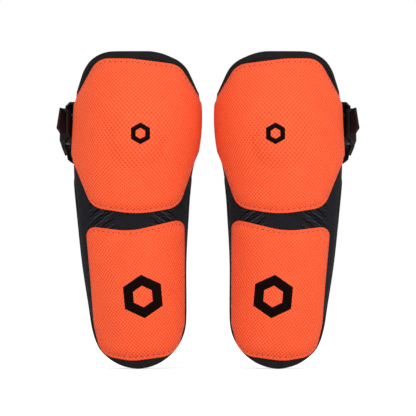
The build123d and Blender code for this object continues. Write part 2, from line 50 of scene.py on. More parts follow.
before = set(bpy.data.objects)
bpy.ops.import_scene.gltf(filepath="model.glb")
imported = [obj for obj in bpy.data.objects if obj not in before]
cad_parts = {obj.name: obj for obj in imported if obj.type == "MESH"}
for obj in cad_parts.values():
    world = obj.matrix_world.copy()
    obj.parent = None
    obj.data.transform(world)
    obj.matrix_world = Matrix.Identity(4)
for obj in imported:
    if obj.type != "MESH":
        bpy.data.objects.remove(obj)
cad_low, cad_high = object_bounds()

MM = 0.001
LEG_X = 78.0                  # each leg's axis lies this far from the middle
SIDES = {"right": 1.0, "left": -1.0}

# ---- body form, close to the CAD source's: level, half width, depth, shift to the inner side ----
FORM = [
    (-25, 48, 47, 2), (0, 48.4, 47, 1.8), (50, 52.1, 53, 1.1), (110, 56.7, 59, -3.4), (170, 61.4, 60.5, -5.2),
    (215, 65.5, 67, -4.8), (238, 67.8, 70.3, -2.5), (262, 68.6, 73, -0.3), (300, 67.2, 69.5, 0.3),
    (350, 61, 60, -0.5), (375, 61, 60, -0.5),
]
BEYOND = 150.0                # farther out than any point of a pad
WALL = 13.2                   # thickness of the padded body
COVER = 1.2
LINING = 2.0
COVER_DEPTH = 1.7             # the cover goes so much deeper than its thickness, for its hollows
LAYER_GAP = 0.05
FOAM_SPREAD = 0.992           # the foam ends just short of the rim
LINING_PROUD = 0.3            # how far the lining stands out of the inner wall
FOLD_HEIGHT = 0.45
UNDER_PANEL = 1.6             # how far the cover sinks under a panel
TAPE_WIDTH, TAPE_THICK = 7.0, 0.8
PAD_MIDDLE = np.array([0.0, -30.0, 180.0])
PAD_HEIGHT = 347.8
TOE_X, TOE_RADIUS = 0.6, 53.5
SHOULDER_Z = 275.0
CROWN_Z = 290.0               # the rows close up above this level
CROWN = [
    (-76.6, SHOULDER_Z, 0), (-53, PAD_HEIGHT, 34), (23.8, PAD_HEIGHT, 60), (52.6, 335.6, 32),
    (80.3, SHOULDER_Z, 0),
]
SIDE_RIM = [
    (-34, 0, 0), (-22, 24.5, 0), (-15, 33, 0), (8, 66, 9), (8, 158, 9), (-3, 172, 9), (-3, 192, 9),
    (28, 216, 9), (28, 296, 9), (-20, 322, 0), (-46, 350, 0),
]
FLEX_Z = 164.0                # middle of the bend

KNEE_PANEL = [
    (-44, 341, 20), (-8, 340.6, 90), (47, 334, 20), (74, 290, 30), (71.5, 250, 30), (46.5, 177, 20),
    (0, 168.8, 120), (-50.5, 176.8, 20), (-75, 236, 30), (-73, 290, 30),
]
SHIN_PANEL = [
    (-57.5, 156.5, 9), (-8, 150.5, 90), (52.5, 164.5, 8), (52.7, 48, 30), (44, 14, 24),
    (-6, 7.5, 60), (-40.5, 13.5, 22), (-48.5, 47, 40), (-52, 95, 60),
]
PANEL_HEIGHT = 5.0
FLANGE = 1.6
FACE_THICK = 2.0
PLATE_INSET = 5.5
EDGE_ROLL = 1.1               # radius of a panel's rolled edge
WALL_START, WALL_RUN = 3.4, 10.5    # a panel's moulded wall starts and climbs so far in from its edge
STITCH_INSET, STITCH_PITCH, GROOVE_DEPTH = 3.9, 6.3, 0.22
THREAD_RADIUS, PRINT_LIFT = 0.36, 0.14
DOME_CENTRE = (-1.5, -53.5, 256.0)
DOME_SEMI = (36.7, 30.0, 46.5)
DOME_SOFT = 1.1               # roundness of the dome's foot
SHIN_SLANT = math.radians(5)


def natural_spline(xs, ys):
    """Smooth curve through the points, as a function."""
    xs, ys = np.array(xs, float), np.array(ys, float)
    n, h = len(xs), np.diff(xs)
    system, right = np.eye(n), np.zeros(n)
    for i in range(1, n - 1):
        system[i, i - 1:i + 2] = h[i - 1], 2 * (h[i - 1] + h[i]), h[i]
        right[i] = 6 * ((ys[i + 1] - ys[i]) / h[i] - (ys[i] - ys[i - 1]) / h[i - 1])
    m = np.linalg.solve(system, right)

    def at(x):
        x = np.asarray(x, float)
        i = np.clip(np.searchsorted(xs, x) - 1, 0, n - 2)
        a, b = (xs[i + 1] - x) / h[i], (x - xs[i]) / h[i]
        return a * ys[i] + b * ys[i + 1] + ((a**3 - a) * m[i] + (b**3 - b) * m[i + 1]) * h[i]**2 / 6

    return at


levels, *measures = zip(*FORM)
half_at, depth_at, shift_at = (natural_spline(levels, each) for each in measures)


def smooth(t):
    t = np.clip(t, 0, 1)
    return t * t * (3 - 2 * t)


def unit(vectors):
    return vectors / np.linalg.norm(vectors, axis=-1, keepdims=True)


def run_lengths(points):
    """Length along a polyline at each of its points."""
    return np.concatenate([[0], np.cumsum(np.linalg.norm(np.diff(points, axis=0), axis=1))])


def at_lengths(spots, along, points):
    """Places on a polyline at these lengths."""
    return np.stack([np.interp(spots, along, points[:, k]) for k in range(points.shape[1])], -1)


def relaxed(loop, times):
    """The closed loop with each point drawn towards its neighbours."""
    for _ in range(times):
        loop = 0.5 * loop + 0.25 * (np.roll(loop, 1, 0) + np.roll(loop, -1, 0))
    return loop


def arc(centre, radius, first, last, count):
    """Points on a circle between two angles."""
    a = np.linspace(first, last, count)
    return centre + radius * np.stack([np.cos(a), np.sin(a)], -1)


def around(z, angle, out):
    """Points on the form, grown outward by out; angle 0 is the front, positive towards the inner side."""
    z, angle = np.broadcast_arrays(np.asarray(z, float), np.asarray(angle, float))
    x = shift_at(z) + (half_at(z) + out) * np.sin(angle)
    y = -(depth_at(z) + out) * np.cos(angle)
    return np.stack([x, y, z], -1)


def girth(z):
    return (half_at(z) + depth_at(z)) / 2


def angle_of(points, out):
    """Form angle of points near the surface."""
    z = points[..., 2]
    sideways = (points[..., 0] - shift_at(z)) / (half_at(z) + out)
    return np.arctan2(sideways, -points[..., 1] / (depth_at(z) + out))


def on_form(points, out):
    return around(points[..., 2], angle_of(points, out), out)


def rounded(corners, step, closed=True):
    """A polyline round an outline of (across, up, radius) corners."""
    points, n = [], len(corners)
    for i, (x, z, r) in enumerate(corners):
        here = np.array([x, z], float)
        if r == 0 or (not closed and i in (0, n - 1)):
            points.append(here)
            continue
        before = unit(np.array(corners[i - 1][:2], float) - here)
        after = unit(np.array(corners[(i + 1) % n][:2], float) - here)
        opening = math.acos(np.clip(before @ after, -1, 1))
        reach = r / math.tan(opening / 2)
        centre = here + unit(before + after) * r / math.sin(opening / 2)
        start, end = here + before * reach - centre, here + after * reach - centre
        first, last = math.atan2(start[1], start[0]), math.atan2(end[1], end[0])
        turn = (last - first + math.pi) % (2 * math.pi) - math.pi
        points += list(arc(centre, r, first, first + turn, max(3, int(abs(turn) * r / step) + 2)))
    if closed:
        points.append(points[0])
    return resample(np.array(points), step)


def resample(points, step):
    """The polyline with evenly spaced points."""
    apart = np.linalg.norm(np.diff(points, axis=0), axis=1) > 1e-6
    points = points[np.concatenate([[True], apart])]
    along = run_lengths(points)
    count = max(2, int(round(along[-1] / step)) + 1)
    return at_lengths(np.linspace(0, along[-1], count), along, points)


crown_line = rounded(CROWN, 0.5, closed=False)
top_row = crown_line[:, 1] > PAD_HEIGHT - 1e-3
crown_left = crown_line[:np.argmax(top_row) + 1]
crown_right = crown_line[len(top_row) - 1 - np.argmax(top_row[::-1]):][::-1]
side_line = rounded(SIDE_RIM, 0.5, closed=False)


def limits(z, out):
    """Left and right form angles of the rim at these levels, on the form grown outward by out."""
    z = np.asarray(z, float)
    reach = np.sqrt(np.maximum(TOE_RADIUS**2 - (TOE_RADIUS - z)**2, 0))
    left = np.where(z < TOE_RADIUS, TOE_X - reach, -BEYOND)
    right = np.where(z < TOE_RADIUS, TOE_X + reach, BEYOND)
    left = np.where(z > SHOULDER_Z, np.interp(z, crown_left[:, 1], crown_left[:, 0]), left)
    right = np.where(z > SHOULDER_Z, np.interp(z, crown_right[:, 1], crown_right[:, 0]), right)
    half, depth, shift = half_at(z) + out, depth_at(z) + out, shift_at(z)
    side = np.arccos(np.clip(-np.interp(z, side_line[:, 1], side_line[:, 0]) / depth, -1, 1))
    tight_left, tight_right = (shift - left) / half, (right - shift) / half
    low = np.where(tight_left < 1, np.maximum(-side, -np.arcsin(np.clip(tight_left, -1, 1))), -side)
    high = np.where(tight_right < 1, np.minimum(side, np.arcsin(np.clip(tight_right, -1, 1))), side)
    return low, high


def level_rows(fine):
    """Levels from toe to crown, closer together where the rim turns and where the pad bends."""
    turn = int(30 * fine)
    toe = TOE_RADIUS * (1 - np.cos(np.linspace(0.02, math.pi / 2, turn)))
    shin = np.arange(TOE_RADIUS + 3, 148, 3 / fine)
    bend = np.arange(149, 204, 1.0 / fine)
    knee = np.arange(205, CROWN_Z - 1, 3 / fine)
    crown = CROWN_Z + (PAD_HEIGHT - CROWN_Z) * np.sin(np.linspace(0, math.pi / 2, turn))
    crown[-1] = PAD_HEIGHT
    return np.concatenate([toe, shin, bend, knee, crown])


def spread(z, columns, out):
    """Form angles across the rim at each level."""
    low, high = limits(z, out)
    share = np.linspace(0, 1, columns)
    return low[:, None] + (high - low)[:, None] * share[None, :]


def segment_distance(points, line):
    """Distance of 2-D points from a polyline."""
    a, b = line[:-1], line[1:]
    d = b - a
    size = np.maximum((d * d).sum(1), 1e-12)
    best = np.full(len(points), 1e9)
    for start in range(0, len(points), 4000):
        p = points[start:start + 4000]
        t = np.clip(((p[:, None] - a) * d).sum(2) / size, 0, 1)
        gap = p[:, None] - a - t[..., None] * d
        best[start:start + 4000] = np.sqrt((gap * gap).sum(2).min(1))
    return best


def inside(points, line):
    """Whether 2-D points lie inside a closed polyline."""
    result = np.zeros(len(points), bool)
    x, z = points[:, 0], points[:, 1]
    for (x0, z0), (x1, z1) in zip(line[:-1], line[1:]):
        if z0 == z1:
            continue
        crosses = (z0 > z) != (z1 > z)
        result ^= crosses & (x < (x1 - x0) * (z - z0) / (z1 - z0) + x0)
    return result


def inward_normals(edge):
    """The points of a closed outline, and the directions in from them."""
    loop = edge[:-1]
    tangent = unit(np.roll(loop, -1, 0) - np.roll(loop, 1, 0))
    normal = np.stack([-tangent[:, 1], tangent[:, 0]], -1)
    return loop, normal if inside((loop + normal * 0.5)[:1], edge)[0] else -normal


def panel_edge(corners, rear):
    """A panel's outline on the unrolled form: (girth times angle, level)."""
    line = rounded(corners, 0.75)
    z = line[:, 1]
    sideways = line[:, 0] - shift_at(z)
    half, depth = half_at(z) + FLANGE, depth_at(z) + FLANGE
    most = np.arccos(np.clip(-rear / depth, -1, 1))
    reach = np.arcsin(np.clip(sideways / half, -1, 1))
    reach = np.where(np.abs(sideways) >= half, np.sign(line[:, 0]) * math.pi / 2, reach)
    edge = relaxed(np.stack([np.clip(reach, -most, most) * girth(z), z], -1)[:-1], 12)
    return resample(np.concatenate([edge, edge[:1]]), 1.4)


knee_edge = panel_edge(KNEE_PANEL, -6.0)
shin_edge = panel_edge(SHIN_PANEL, -2.0)


# ---- meshes ----
def make(name, points, faces, materials, weave=None, slots=None):
    """One piece as a mesh on the right pad and its mirror image on the left pad."""
    made = {}
    for side, sign in SIDES.items():
        placed = (np.asarray(points, float) - [LEG_X, 0, 0]) * MM
        placed[:, 0] *= sign
        loops = faces if sign > 0 else [f[::-1] for f in faces]
        mesh = bpy.data.meshes.new(f"{side}_{name}")
        mesh.from_pydata(placed.tolist(), [], [list(map(int, f)) for f in loops])
        for material in materials:
            mesh.materials.append(material)
        if slots is not None:
            mesh.polygons.foreach_set("material_index", np.asarray(slots, np.int32))
        mesh.polygons.foreach_set("use_smooth", np.ones(len(mesh.polygons), bool))
        if weave is not None:
            attribute = mesh.attributes.new("weave", "FLOAT_VECTOR", "POINT")
            flat = np.zeros((len(points), 3), np.float32)
            flat[:, :weave.shape[1]] = weave
            attribute.data.foreach_set("vector", flat.ravel())
        mesh.update()
        made[side] = bpy.data.objects.new(f"{side}_{name}", mesh)
        bpy.context.scene.collection.objects.link(made[side])
    return made


def grid_faces(rows, columns):
    r, c = np.meshgrid(np.arange(rows - 1), np.arange(columns - 1), indexing="ij")
    a = r * columns + c
    return np.stack([a, a + 1, a + columns + 1, a + columns], -1).reshape(-1, 4)


def skin(outer, inner):
    """Closed solid between two grids of points with the same rows and columns."""
    rows, columns = outer.shape[:2]
    count = rows * columns
    faces = grid_faces(rows, columns)
    faces = faces.tolist() + (faces[:, ::-1] + count).tolist()
    number = np.arange(count).reshape(rows, columns)
    loop = np.concatenate([number[0], number[1:, -1], number[-1, -2::-1], number[-2:0:-1, 0]])
    faces += [[b, a, a + count, b + count] for a, b in zip(loop, np.roll(loop, -1))]
    return np.concatenate([outer.reshape(-1, 3), inner.reshape(-1, 3)]), faces


def ring_faces(rings, sides, closed=False):
    """Faces round a row of rings of points; a closed row ends where it starts."""
    faces = []
    for i in range(rings if closed else rings - 1):
        here, ahead = i * sides, (i + 1) % rings * sides
        for j in range(sides):
            k = (j + 1) % sides
            faces.append([here + j, here + k, ahead + k, ahead + j])
    return faces


def tube_faces(rings, sides):
    """Faces round a row of rings of points, with both ends closed."""
    last = (rings - 1) * sides
    return ring_faces(rings, sides) + [list(range(sides))[::-1], list(range(last, last + sides))]


def outward_faces(points, faces):
    """Faces turned so that the closed mesh's volume is positive."""
    p = points - points.mean(0)
    total = sum(np.dot(p[f[0]], np.cross(p[f[k]], p[f[k + 1]])) for f in faces for k in range(1, len(f) - 1))
    return faces if total > 0 else [f[::-1] for f in faces]


def ride_all(made, body):
    for side, obj in made.items():
        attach(obj, f"{side}_{body}")


def blend_all(made):
    """Soft pieces that cross the bend: their placement is baked into their meshes, and they are not tied to
    the shin or the knee.
    """
    for side, obj in made.items():
        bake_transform(obj)


def stand_for(made, slot, *nodes):
    for side, obj in made.items():
        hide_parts(*[f"{side}_{node}" for node in nodes])


# ---- materials ----
def linear(r, g, b):
    """Scene colour of an sRGB colour given from 0 to 255."""
    return tuple(((c / 255 + 0.055) / 1.055)**2.4 if c > 10 else c / 255 / 12.92 for c in (r, g, b)) + (1.0,)


class Graph:
    """A material under construction."""

    def __init__(self, name, roughness, **sockets):
        self.material = bpy.data.materials.new(name)
        self.material.use_nodes = True
        self.tree = self.material.node_tree
        self.tree.nodes.clear()
        self.shader = self.tree.nodes.new("ShaderNodeBsdfPrincipled")
        output = self.tree.nodes.new("ShaderNodeOutputMaterial")
        self.tree.links.new(self.shader.outputs[0], output.inputs[0])
        self.shader.inputs["Roughness"].default_value = roughness
        for key, value in sockets.items():
            self.shader.inputs[key.replace("_", " ")].default_value = value

    def node(self, kind, *inputs, **settings):
        made = self.tree.nodes.new(kind)
        for key, value in settings.items():
            setattr(made, key, value)
        for socket, value in zip(made.inputs, inputs):
            self.set(socket, value)
        return made

    def set(self, socket, value):
        if isinstance(value, bpy.types.NodeSocket):
            self.tree.links.new(value, socket)
        else:
            socket.default_value = value

    def math(self, operation, *inputs):
        return self.node("ShaderNodeMath", *inputs, operation=operation).outputs[0]

    def times(self, first, second):
        return self.math("MULTIPLY", first, second)

    def sum(self, first, share, second, rest):
        """Two values added, each times its share."""
        return self.math("ADD", self.times(first, share), self.times(second, rest))

    def wave(self, value, pitch):
        """Cosine of a length, with a pitch in the same unit."""
        return self.math("COSINE", self.times(value, 2 * math.pi / pitch))

    def weave(self):
        """Place on the cloth in millimetres: across, along, height of the folds, and the flat place."""
        spot = self.node("ShaderNodeAttribute", attribute_name="weave").outputs["Vector"]
        u, v, ridge = self.node("ShaderNodeSeparateXYZ", spot).outputs
        return u, v, ridge, self.node("ShaderNodeCombineXYZ", u, v, 0.0).outputs[0]

    def place(self):
        """Place on the rigid piece in millimetres."""
        spot = self.node("ShaderNodeTexCoord").outputs["Object"]
        return self.node("ShaderNodeVectorMath", spot, (1 / MM,) * 3, operation="MULTIPLY").outputs[0]

    def noise(self, place, scale, detail=3.0):
        made = self.node("ShaderNodeTexNoise")
        self.set(made.inputs["Vector"], place)
        made.inputs["Scale"].default_value = scale
        made.inputs["Detail"].default_value = detail
        return made.outputs[0]

    def ramp(self, value, low, high, first=0.0, last=1.0):
        return self.node("ShaderNodeMapRange", value, low, high, first, last).outputs[0]

    def colour(self, share, first, second):
        """Base colour between two colours, each a socket or an sRGB colour."""
        made = self.node("ShaderNodeMix", data_type="RGBA")
        for number, value in ((0, share), (6, first), (7, second)):
            self.set(made.inputs[number], linear(*value) if isinstance(value, tuple) else value)
        self.tree.links.new(made.outputs[2], self.shader.inputs["Base Color"])
        return made.outputs[2]

    def relief(self, height, depth, strength):
        made = self.node("ShaderNodeBump")
        made.inputs["Strength"].default_value = strength
        made.inputs["Distance"].default_value = depth * MM
        self.set(made.inputs["Height"], height)
        self.tree.links.new(made.outputs[0], self.shader.inputs["Normal"])

    def rough(self, value, low, high, first, last):
        self.tree.links.new(self.ramp(value, low, high, first, last), self.shader.inputs["Roughness"])


def dimples(g, u, v, across, up):
    """Staggered rows of small dimples, 0 between them and 1 at their middles."""
    return g.ramp(g.times(g.wave(u, across), g.wave(v, up)), -0.15, 0.85)


def panel_material():
    g = Graph("panel_fabric", 0.62, Specular_IOR_Level=0.06)
    u, v, _, spot = g.weave()
    pits = dimples(g, u, v, 4.3, 5.0)
    cloud = g.noise(spot, 0.05, 2.0)
    # painted shade: the dimples' middles are a darker orange; the noise adds random tone
    g.colour(g.sum(pits, 0.75, cloud, 0.25), (255, 104, 64), (224, 68, 32))
    g.relief(g.sum(pits, -1.0, g.noise(spot, 2.2, 2.0), 0.1), 0.6, 0.9)
    g.rough(cloud, 0.3, 0.7, 0.55, 0.65)
    return g.material


def cover_material():
    """Mesh cloth with painted shade in its pits and fold hollows, and a painted highlight along its fold
    crests.
    """
    g = Graph("cover_fabric", 0.5, Specular_IOR_Level=0.02)
    u, v, ridge, spot = g.weave()
    pits = dimples(g, u, v, 2.9, 4.0)
    # painted shade: darker in the dimples' pits and in the fold hollows, lighter on the fold crests; the
    # noise adds random tone
    share = g.math("SUBTRACT", g.sum(pits, 0.65, g.noise(spot, 0.08), 0.35), g.times(ridge, 0.9))
    cloth = g.colour(share, (41, 41, 46), (0, 0, 1))
    # painted highlight: a lighter grey along the fold crests
    g.colour(g.ramp(ridge, 0.3, 1.0, 0.0, 0.85), cloth, (66, 66, 73))
    g.relief(g.sum(pits, -1.0, g.noise(spot, 3.0), 0.25), 0.6, 1.0)
    g.rough(pits, 0.0, 1.0, 0.55, 0.8)
    return g.material


def knit_material(name, light, dark, pitch, roughness):
    g = Graph(name, roughness, Specular_IOR_Level=0.12)
    u, v, _, spot = g.weave()
    loops = g.times(g.wave(u, pitch), g.wave(v, pitch * 1.3))
    cloud = g.noise(spot, 0.12)
    g.colour(g.ramp(g.math("ADD", loops, cloud), -0.6, 1.6), light, dark)
    g.relief(g.sum(loops, 1.0, cloud, 0.5), 0.2, 0.7)
    g.rough(cloud, 0.3, 0.7, roughness - 0.08, roughness + 0.05)
    return g.material


def foam_material():
    g = Graph("foam_cells", 0.9)
    cells = g.node("ShaderNodeTexVoronoi")
    g.set(cells.inputs["Vector"], g.place())
    cells.inputs["Scale"].default_value = 0.9
    g.colour(g.ramp(cells.outputs[0], 0.0, 0.7), (30, 30, 32), (62, 62, 64))
    g.relief(cells.outputs[0], 0.2, 0.6)
    return g.material


def ribbed_material(name, light, dark, rib, cross, roughness):
    """Woven tape or elastic: ribs along it, threads across it."""
    g = Graph(name, roughness, Specular_IOR_Level=0.03)
    u, v, _, spot = g.weave()
    ribs = g.wave(v, rib)
    woven = g.sum(ribs, 0.6, g.times(g.wave(u, cross), ribs), 0.4)
    cloud = g.noise(spot, 0.15)
    g.colour(g.ramp(g.math("ADD", woven, cloud), -0.5, 1.6), dark, light)
    g.relief(woven, 0.22, 0.8)
    g.rough(cloud, 0.3, 0.7, roughness - 0.06, roughness + 0.06)
    return g.material


def plastic_material(name, light, dark, roughness):
    g = Graph(name, roughness, Specular_IOR_Level=0.08)
    place = g.place()
    cloud = g.noise(place, 0.06)
    g.colour(g.ramp(cloud, 0.35, 0.65), light, dark)
    g.relief(g.noise(place, 1.6), 0.05, 0.6)
    g.rough(cloud, 0.3, 0.7, roughness - 0.07, roughness + 0.07)
    return g.material


def steel_material():
    g = Graph("blackened_steel", 0.3, Metallic=1.0)
    place = g.place()
    cloud = g.noise(place, 0.25, 4.0)
    g.colour(g.ramp(cloud, 0.35, 0.7), (92, 92, 94), (54, 54, 56))
    g.relief(g.noise(place, 2.5, 2.0), 0.02, 0.5)
    g.rough(cloud, 0.3, 0.7, 0.22, 0.42)
    return g.material


def print_material():
    g = Graph("flat_print", 0.5, Specular_IOR_Level=0.03)
    u, v, _, spot = g.weave()
    cloud = g.noise(spot, 0.4)
    g.colour(g.ramp(cloud, 0.3, 0.7), (17, 6, 3), (11, 3, 2))
    g.relief(dimples(g, u, v, 5.0, 3.0), 0.1, 0.5)
    g.rough(cloud, 0.3, 0.7, 0.38, 0.5)
    return g.material


def thread_material(name, light, dark):
    g = Graph(name, 0.6, Sheen_Weight=0.2)
    twist = g.noise(g.place(), 1.3, 2.0)
    g.colour(g.ramp(twist, 0.35, 0.65), light, dark)
    g.relief(twist, 0.08, 0.6)
    return g.material


ORANGE = panel_material()
BLACK_COVER = cover_material()
BLACK_LINING = knit_material("lining_knit", (64, 64, 68), (36, 36, 39), 1.4, 0.8)
CUSHION_CLOTH = knit_material("cushion_knit", (78, 78, 83), (48, 48, 52), 2.0, 0.85)
BINDING_TAPE = ribbed_material("binding_tape", (44, 43, 44), (16, 15, 16), 0.9, 1.1, 0.62)
ELASTIC = ribbed_material("elastic_webbing", (42, 37, 34), (13, 11, 10), 1.6, 1.2, 0.7)
WEBBING = ribbed_material("strap_webbing", (32, 31, 32), (11, 11, 12), 2.2, 1.5, 0.65)
HOOK_TAPE = ribbed_material("hook_tape", (40, 40, 41), (10, 10, 11), 0.9, 0.9, 0.75)
FOAM = foam_material()
HARD_PLASTIC = plastic_material("buckle_plastic", (14, 6, 6), (8, 2, 2), 0.45)
HOOK_PLASTIC = plastic_material("hook_plastic", (38, 26, 26), (27, 17, 17), 0.4)
SHELL_PLASTIC = plastic_material("shell_plastic", (60, 60, 62), (44, 44, 46), 0.5)
STEEL = steel_material()
PRINT = print_material()
THREAD = thread_material("orange_thread", (250, 100, 60), (225, 78, 44))
# dark plugs at the needle holes: painted shade inside the holes
HOLE_SHADE = thread_material("needle_hole_shade", (96, 30, 16), (62, 18, 9))


# ---- soft body: fabric cover, foam and lining ----
def fold_ridges(s, z):
    """Slanting ridges of the cover at the sides of the bend, from -1 to 1, fading out all round."""
    reach = smooth((np.abs(s) - 17) / 10) * smooth((62 - np.abs(s)) / 20)
    band = smooth((z - 146) / 12) * smooth((196 - z) / 20)
    slant = (z - FLEX_Z) + 0.65 * np.abs(s)
    patchy = 0.55 + 0.45 * np.cos(2 * math.pi * s / 7.3)
    short_folds = np.cos(2 * math.pi * slant / 4.3 + 0.8 * np.sin(s / 2.1)) * patchy
    long_folds = 0.35 * np.cos(2 * math.pi * slant / 11.0 + 1.0)
    return (short_folds + long_folds) * reach * band


def bend_hollow(s, z):
    """How far the cover sinks across the front of the bend."""
    return -0.8 * smooth((60 - np.abs(s)) / 40) * smooth((z - 148) / 10) * smooth((182 - z) / 10)


def build_body():
    z, columns = level_rows(1.0), 201
    angle = spread(z, columns, 0.0)
    s = angle * girth(z)[:, None]
    zz = np.broadcast_to(z[:, None], s.shape)
    grid = np.stack([s, zz], -1)
    flat = grid.reshape(-1, 2)
    under = np.zeros(len(flat))
    for edge in (knee_edge, shin_edge):
        depth = segment_distance(flat, edge) * inside(flat, edge)
        under = np.maximum(under, smooth((depth - 1.5) / 4))
    rim = segment_distance(flat, np.concatenate([grid[:, 0], grid[::-1, -1]]))
    clear = smooth((rim - TAPE_WIDTH) / 5)
    ridges = fold_ridges(*flat.T) * clear
    out = FOLD_HEIGHT * ridges + bend_hollow(*flat.T) * clear - UNDER_PANEL * under
    cover_in = -COVER - COVER_DEPTH
    inner = around(zz, spread(z, columns, -COVER), cover_in)
    points, faces = skin(around(zz, angle, out.reshape(s.shape)), inner)
    # the third weave value is the fold height, which the cover's material uses for its painted shade and
    # painted highlight
    weave = np.concatenate([np.column_stack([flat, ridges]), np.column_stack([flat, 0 * ridges])])
    cover = make("body_fabric", points, faces, [BLACK_COVER], weave)
    stand_for(cover, "cover", "knee_cover", "shin_cover", "flex_band")
    blend_all(cover)

    z, columns = level_rows(0.6), 61
    zz = np.broadcast_to(z[:, None], (len(z), columns))
    foam_out, foam_in = cover_in - LAYER_GAP, LINING - WALL + LAYER_GAP
    layers = [around(zz, spread(z, columns, out) * FOAM_SPREAD, out) for out in (foam_out, foam_in)]
    points, faces = skin(*layers)
    foam = make("body_foam", points, faces, [FOAM])
    stand_for(foam, "foam", "knee_foam", "shin_foam")
    blend_all(foam)

    angle = spread(z, columns, -WALL)
    inner = around(zz, angle, -WALL - LINING_PROUD)
    points, faces = skin(around(zz, spread(z, columns, foam_in), foam_in - LAYER_GAP), inner)
    flat = np.stack([(angle * girth(z)[:, None]).ravel(), zz.ravel()], -1)
    lining = make("body_lining", points, faces, [BLACK_LINING], np.concatenate([flat, flat]))
    stand_for(lining, "lining", "knee_lining", "shin_lining")
    blend_all(lining)


# ---- rim binding ----
def rim_loop(out):
    """Closed rim on the form grown by out: up the inner edge, over the crown, down the outer edge."""
    z = level_rows(1.6)
    z = z[z > 0.02]
    low, high = limits(z, out)
    share = np.linspace(0, 1, 42)[1:-1]
    crown = around(PAD_HEIGHT, high[-1] + (low[-1] - high[-1]) * share, out)
    toe = around(0, (low[:1] + high[:1]) / 2, out)
    loop = np.concatenate([around(z, high, out), crown, around(z, low, out)[::-1], toe])
    return np.concatenate([loop, loop[:1]])


def build_binding():
    """Tape folded over the rim: its section goes over the cover, round the edge, over the lining and back."""
    outer_rim, inner_rim = rim_loop(TAPE_THICK), rim_loop(-WALL - TAPE_THICK)
    along = run_lengths(outer_rim)
    spots = np.linspace(0, along[-1], int(along[-1] / 2.0), endpoint=False)
    outer, inner = (relaxed(at_lengths(spots, along, rim), 3) for rim in (outer_rim, inner_rim))
    tangent = unit(np.roll(outer, -1, 0) - np.roll(outer, 1, 0))
    inward = unit(np.cross(unit(outer - inner), tangent))
    if ((PAD_MIDDLE - outer) * inward).sum() < 0:
        inward = -inward

    def lip(rim, inset, out):
        return on_form(rim + inward * inset, out)

    edge_outer, edge_inner = lip(outer, 0, TAPE_THICK), lip(inner, 0, -WALL - TAPE_THICK)
    drop = edge_inner - edge_outer
    flap = [(TAPE_WIDTH, 0.1), (TAPE_WIDTH, 0.55), (TAPE_WIDTH - 0.4, TAPE_THICK)]
    flap += [(TAPE_WIDTH * share, TAPE_THICK) for share in (0.6, 0.3)]
    turn = (0.0, 0.1), (0.04, 0.65), (0.12, 1.0), (0.3, 1.2), (0.5, 1.25)
    turn += tuple((1 - share, push) for share, push in turn[3::-1])
    ring = [lip(outer, inset, out) for inset, out in flap]
    ring += [edge_outer + drop * share - inward * push * TAPE_THICK for share, push in turn]
    ring += [lip(inner, inset, -WALL - out) for inset, out in flap[::-1]]
    ring += [lip(inner, inset, -WALL - 0.1) for inset in (TAPE_WIDTH * 0.5, TAPE_THICK)]
    ring += [edge_outer + drop * share + inward * 0.05 for share in (0.9, 0.1)]
    ring += [lip(outer, inset, 0.1) for inset in (TAPE_THICK, TAPE_WIDTH * 0.5)]
    points = np.stack(ring, 1)
    n, m = points.shape[:2]
    steps = np.linalg.norm(np.diff(points, axis=1), axis=2).mean(0)
    round_it = np.concatenate([[0], np.cumsum(steps)])
    weave = np.stack([np.repeat(spots, m), np.tile(round_it, n)], -1)
    points = points.reshape(-1, 3)
    faces = outward_faces(points, ring_faces(n, m, closed=True))
    tape = make("rim_tape", points, faces, [BINDING_TAPE], weave)
    stand_for(tape, "binding", "knee_binding", "shin_binding")
    blend_all(tape)


# ---- coloured panels ----
def panel_relief(d):
    """Height of a panel at a distance from its edge: rolled edge, sewn flange, moulded wall."""
    rolled = FLANGE - EDGE_ROLL + EDGE_ROLL * np.sqrt(1 - (1 - np.clip(d / EDGE_ROLL, 0, 1))**2)
    rise = np.clip((d - WALL_START) / WALL_RUN, 0, 1)
    wall = (PANEL_HEIGHT - FLANGE) * (1 - (1 - rise)**2.2)
    groove = -GROOVE_DEPTH * np.exp(-((d - STITCH_INSET) / 0.8)**2)
    return rolled + wall + groove


def over_dome(points, lift):
    """Points moved forward onto the kneecap bump, with a soft edge."""
    x = (points[..., 0] - DOME_CENTRE[0]) / (DOME_SEMI[0] + lift)
    z = (points[..., 2] - DOME_CENTRE[2]) / (DOME_SEMI[2] + lift)
    rise = (DOME_SEMI[1] + lift) * np.sqrt(np.clip(1 - x * x - z * z, 0, None))
    dome = DOME_CENTRE[1] - rise
    forward = -DOME_SOFT * np.logaddexp(-points[..., 1] / DOME_SOFT, -dome / DOME_SOFT)
    result = points.copy()
    result[..., 1] = np.where(rise > 0, forward, points[..., 1])
    return result


def panel_point(flat, d, bump, under=0.0):
    """Place of a panel's points, given on the unrolled form, on its surface or so far under it."""
    z = flat[:, 1]
    height = panel_relief(d)
    if under:
        height = np.maximum(height - under, 0.1)
    points = around(z, flat[:, 0] / girth(z), height)
    return over_dome(points, -under) if bump else points


def pattern_place(flat, bump):
    """Pattern coordinates: the dimples stretch wider where the panel is drawn over the kneecap."""
    if not bump:
        c, s = math.cos(SHIN_SLANT), math.sin(SHIN_SLANT)
        return flat @ np.array([[c, -s], [s, c]]) * 1.15
    away = flat - [DOME_CENTRE[0], DOME_CENTRE[2]]
    r = np.linalg.norm(away, axis=1)
    table = np.linspace(0, 160, 641)
    density = 0.9 + 0.4 * smooth((table - 26) / 26)
    total = np.concatenate([[0], np.cumsum((density[1:] + density[:-1]) / 2 * np.diff(table))])
    return away * (np.interp(r, table, total) / np.maximum(r, 1e-6))[:, None]


